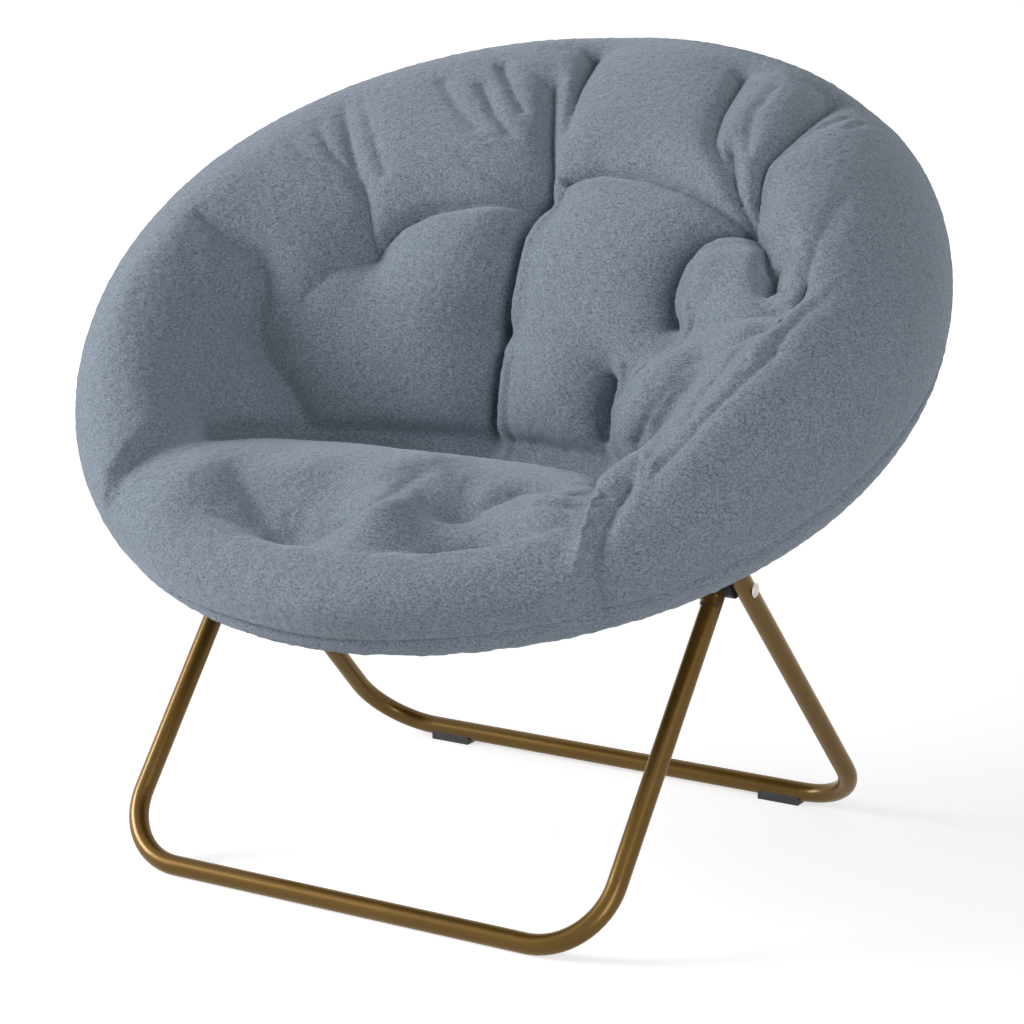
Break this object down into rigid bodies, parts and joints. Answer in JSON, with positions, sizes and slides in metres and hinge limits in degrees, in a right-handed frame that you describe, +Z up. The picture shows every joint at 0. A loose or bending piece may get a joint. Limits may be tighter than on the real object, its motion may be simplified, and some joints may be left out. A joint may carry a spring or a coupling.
{
  "type": "folding saucer chair",
  "caption": "Folding saucer chair with crossed U-shaped tube legs, a hinged seat ring and a deep, tufted round cushion in fleece.",
  "frame": {"origin": "centre of the overall box at floor level, under the seat", "axes": "+Z up, -Y towards the front of the chair, +X to the right of someone who looks at the chair from the front"},
  "size_m": [0.9756, 0.852, 0.8677],
  "materials": {
    "gold_tube": "glossy antique gold paint on steel tube",
    "gold_sheet": "glossy antique gold paint on pressed steel",
    "rivet_steel": "plain bright rivets",
    "black_plastic": "matt black moulded plastic",
    "sleeve_cloth": "black woven lining cloth",
    "fleece": "grey-blue sherpa fleece with a short curly pile"
  },
  "bodies": {
    "front_frame": {"front_leg": "gold_tube", "front_leg_plugs": "black_plastic", "cross_rivet_left": "rivet_steel", "cross_rivet_right": "rivet_steel", "cross_spacer_left": "black_plastic", "cross_spacer_right": "black_plastic", "cross_bracket_left": "gold_sheet", "cross_bracket_right": "gold_sheet", "bracket_liner_left": "black_plastic", "bracket_liner_right": "black_plastic", "bracket_rivets_left": "gold_sheet", "bracket_rivets_right": "gold_sheet"},
    "rear_frame": {"rear_leg": "gold_tube", "rear_leg_plugs": "black_plastic", "rear_foot_left": "black_plastic", "rear_foot_right": "black_plastic"},
    "ring_rear": {"ring_rear_arc": "gold_tube", "hinge_fork_left": "gold_sheet", "hinge_fork_right": "gold_sheet", "hinge_rivet_left": "rivet_steel", "hinge_rivet_right": "rivet_steel", "back_lug_left": "gold_sheet", "back_lug_right": "gold_sheet", "back_rivet_left": "rivet_steel", "back_rivet_right": "rivet_steel", "rear_sleeve": "sleeve_cloth", "back_pad": "fleece", "side_roll_left": "fleece", "side_roll_right": "fleece"},
    "ring_front": {"ring_front_arc": "gold_tube", "hinge_tongue_left": "gold_sheet", "hinge_tongue_right": "gold_sheet", "seat_lug_left": "gold_sheet", "seat_lug_right": "gold_sheet", "seat_rivets_left": "rivet_steel", "seat_rivets_right": "rivet_steel", "front_sleeve": "sleeve_cloth", "seat_pad": "fleece"}
  },
  "joints": [
    {"name": "ring_tilt", "type": "hinge", "parent": "front_frame", "child": "ring_rear", "pos_m": [0, 0.22129, 0.6972], "axis": [1, 0, 0], "range_deg": [0, 17.83]},
    {"name": "leg_fold", "type": "hinge", "parent": "front_frame", "child": "rear_frame", "pos_m": [0, -0.0657, 0.3377], "axis": [-1, 0, 0], "range_deg": [0, 46.49]},
    {"name": "ring_fold", "type": "hinge", "parent": "ring_rear", "child": "ring_front", "pos_m": [0, -0.10716, 0.51738], "axis": [-1, 0, 0], "range_deg": [0, 124], "deforming": ["side_roll_left", "side_roll_right"]}
  ],
  "couplings": [
    {"joint": "ring_tilt", "follows": "ring_fold", "ratio": 0.1438},
    {"joint": "leg_fold", "follows": "ring_fold", "ratio": 0.37495}
  ]
}
